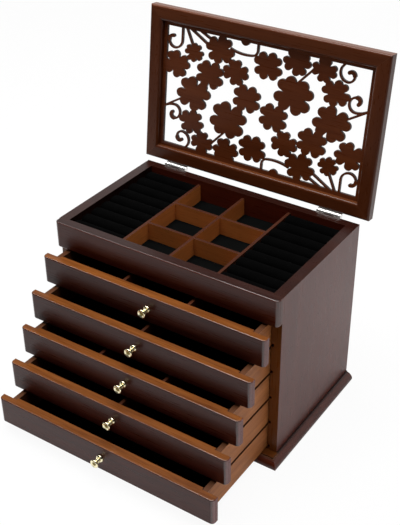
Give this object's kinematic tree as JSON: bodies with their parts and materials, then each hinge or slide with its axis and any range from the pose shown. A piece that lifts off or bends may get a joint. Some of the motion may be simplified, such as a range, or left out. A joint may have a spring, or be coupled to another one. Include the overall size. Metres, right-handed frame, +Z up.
{
  "type": "jewellery chest",
  "caption": "Free-standing wooden jewellery chest: a hinged lid with a fretwork clover panel over a velvet-lined tray with ring rolls, above a stack of sliding drawers with brass knobs.",
  "frame": {"origin": "middle of the case in plan, on the underside of the base board", "axes": "+X to the right as seen from the drawers, +Y to the back, +Z up"},
  "size_m": [0.3174, 0.3622, 0.4206],
  "materials": {
    "dark_wood": "satin espresso stain",
    "light_wood": "satin walnut stain",
    "side_wood": "matt tan drawer stock",
    "hardboard": "brown hardboard",
    "velvet": "black velvet",
    "knob_brass": "polished",
    "hinge_steel": "nickel plated"
  },
  "bodies": {
    "case": {"base_board": "dark_wood", "side_panel_left": "dark_wood", "side_panel_right": "dark_wood", "back_panel": "dark_wood", "fascia_rail": "dark_wood", "tray_floor": "dark_wood", "tray_divider_left": "light_wood", "tray_divider_centre": "light_wood", "tray_divider_right": "light_wood", "tray_cross_front": "light_wood", "tray_cross_rear": "light_wood", "tray_pads": "velvet", "ring_rolls_left": "velvet", "ring_rolls_right": "velvet", "hinge_leaves_case": "hinge_steel", "hinge_pins": "hinge_steel", "hinge_screws_case": "hinge_steel"},
    "lid": {"lid_rail_front": "dark_wood", "lid_rail_rear": "dark_wood", "lid_stile_left": "dark_wood", "lid_stile_right": "dark_wood", "fret_panel": "dark_wood", "hinge_leaves_lid": "hinge_steel", "hinge_screws_lid": "hinge_steel"},
    "drawer_1": {"drawer_1_front": "dark_wood", "drawer_1_sides": "side_wood", "drawer_1_back": "side_wood", "drawer_1_bottom": "hardboard", "drawer_1_dividers": "light_wood", "drawer_1_pads": "velvet", "drawer_1_knob": "knob_brass"},
    "drawer_2": {"drawer_2_front": "dark_wood", "drawer_2_sides": "side_wood", "drawer_2_back": "side_wood", "drawer_2_bottom": "hardboard", "drawer_2_dividers": "light_wood", "drawer_2_pads": "velvet", "drawer_2_knob": "knob_brass"},
    "drawer_3": {"drawer_3_front": "dark_wood", "drawer_3_sides": "side_wood", "drawer_3_back": "side_wood", "drawer_3_bottom": "hardboard", "drawer_3_dividers": "light_wood", "drawer_3_pads": "velvet", "drawer_3_knob": "knob_brass"},
    "drawer_4": {"drawer_4_front": "dark_wood", "drawer_4_sides": "side_wood", "drawer_4_back": "side_wood", "drawer_4_bottom": "hardboard", "drawer_4_dividers": "light_wood", "drawer_4_pads": "velvet", "drawer_4_knob": "knob_brass"},
    "drawer_5": {"drawer_5_front": "dark_wood", "drawer_5_sides": "side_wood", "drawer_5_back": "side_wood", "drawer_5_bottom": "hardboard", "drawer_5_pads": "velvet", "drawer_5_knob": "knob_brass"}
  },
  "joints": [
    {"name": "lid_hinge", "type": "hinge", "parent": "case", "child": "lid", "pos_m": [0, 0.0961, 0.2247], "axis": [1, 0, 0], "range_deg": [0, 96.8]},
    {"name": "drawer_1_slide", "type": "slide", "parent": "case", "child": "drawer_1", "axis": [0, -1, 0], "range_m": [-0.0258, 0.1102]},
    {"name": "drawer_2_slide", "type": "slide", "parent": "case", "child": "drawer_2", "axis": [0, -1, 0], "range_m": [-0.0528, 0.0832]},
    {"name": "drawer_3_slide", "type": "slide", "parent": "case", "child": "drawer_3", "axis": [0, -1, 0], "range_m": [-0.0747, 0.0613]},
    {"name": "drawer_4_slide", "type": "slide", "parent": "case", "child": "drawer_4", "axis": [0, -1, 0], "range_m": [-0.098, 0.038]},
    {"name": "drawer_5_slide", "type": "slide", "parent": "case", "child": "drawer_5", "axis": [0, -1, 0], "range_m": [-0.123, 0.013]}
  ]
}
